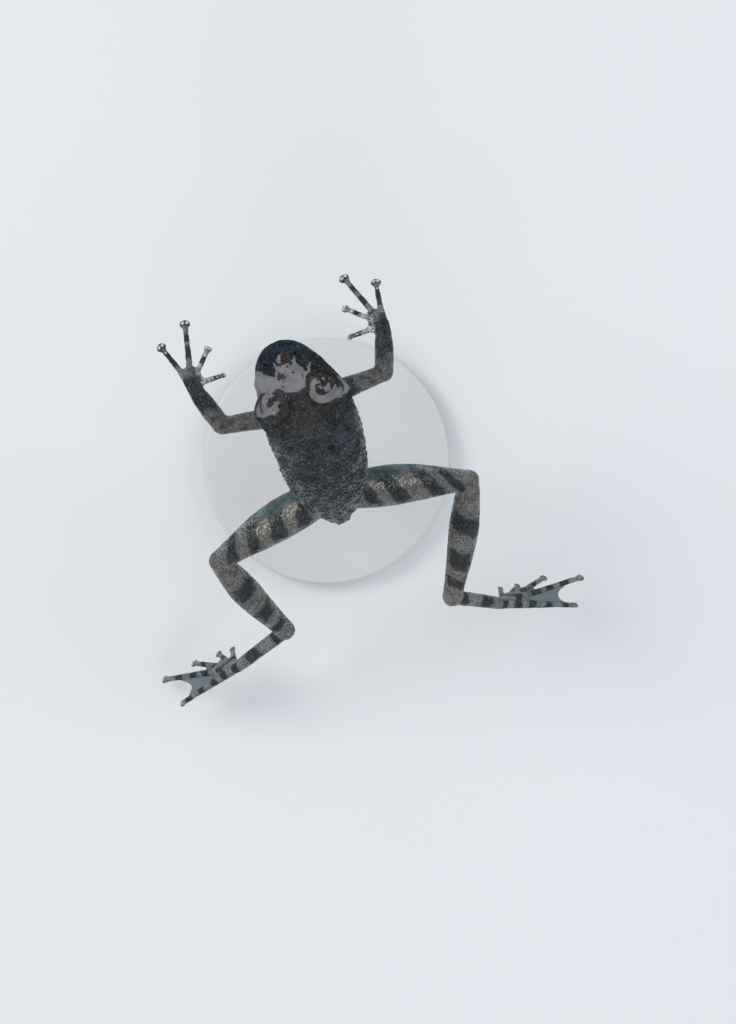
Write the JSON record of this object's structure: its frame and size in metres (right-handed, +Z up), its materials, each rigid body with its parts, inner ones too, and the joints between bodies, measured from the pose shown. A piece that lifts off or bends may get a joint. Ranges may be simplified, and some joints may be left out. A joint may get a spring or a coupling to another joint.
{
  "type": "otas stream tree frog figure",
  "caption": "Life-size still model of a slender tree frog afloat with legs splayed and hands spread, held on a rod above a round display base.",
  "frame": {"origin": "centre of the stand base's flat underside, on the floor", "axes": "head towards -Y, +Z up, the frog's left side at +X"},
  "size_m": [0.0529, 0.0451, 0.047],
  "materials": {
    "skin": "moist grey-brown skin with fine grains, mottled darker behind the eyes",
    "limb_skin": "moist grey-brown skin with dark cross-bars and pale speckles",
    "foot_skin": "moist banded skin, paler and thin in the webs",
    "eye": "wet bronze iris with a dark level pupil",
    "stand": "plain off-white"
  },
  "bodies": {
    "root": {"head": "skin", "torso": "skin", "upper_arm_left": "limb_skin", "upper_arm_right": "limb_skin", "forearm_left": "limb_skin", "forearm_right": "limb_skin", "thigh_left": "limb_skin", "thigh_right": "limb_skin", "shank_left": "limb_skin", "shank_right": "limb_skin", "hand_left": "foot_skin", "hand_right": "foot_skin", "foot_left": "foot_skin", "foot_right": "foot_skin", "eye_left": "eye", "eye_right": "eye", "stand_base": "stand", "stand_rod": "stand"}
  },
  "joints": []
}
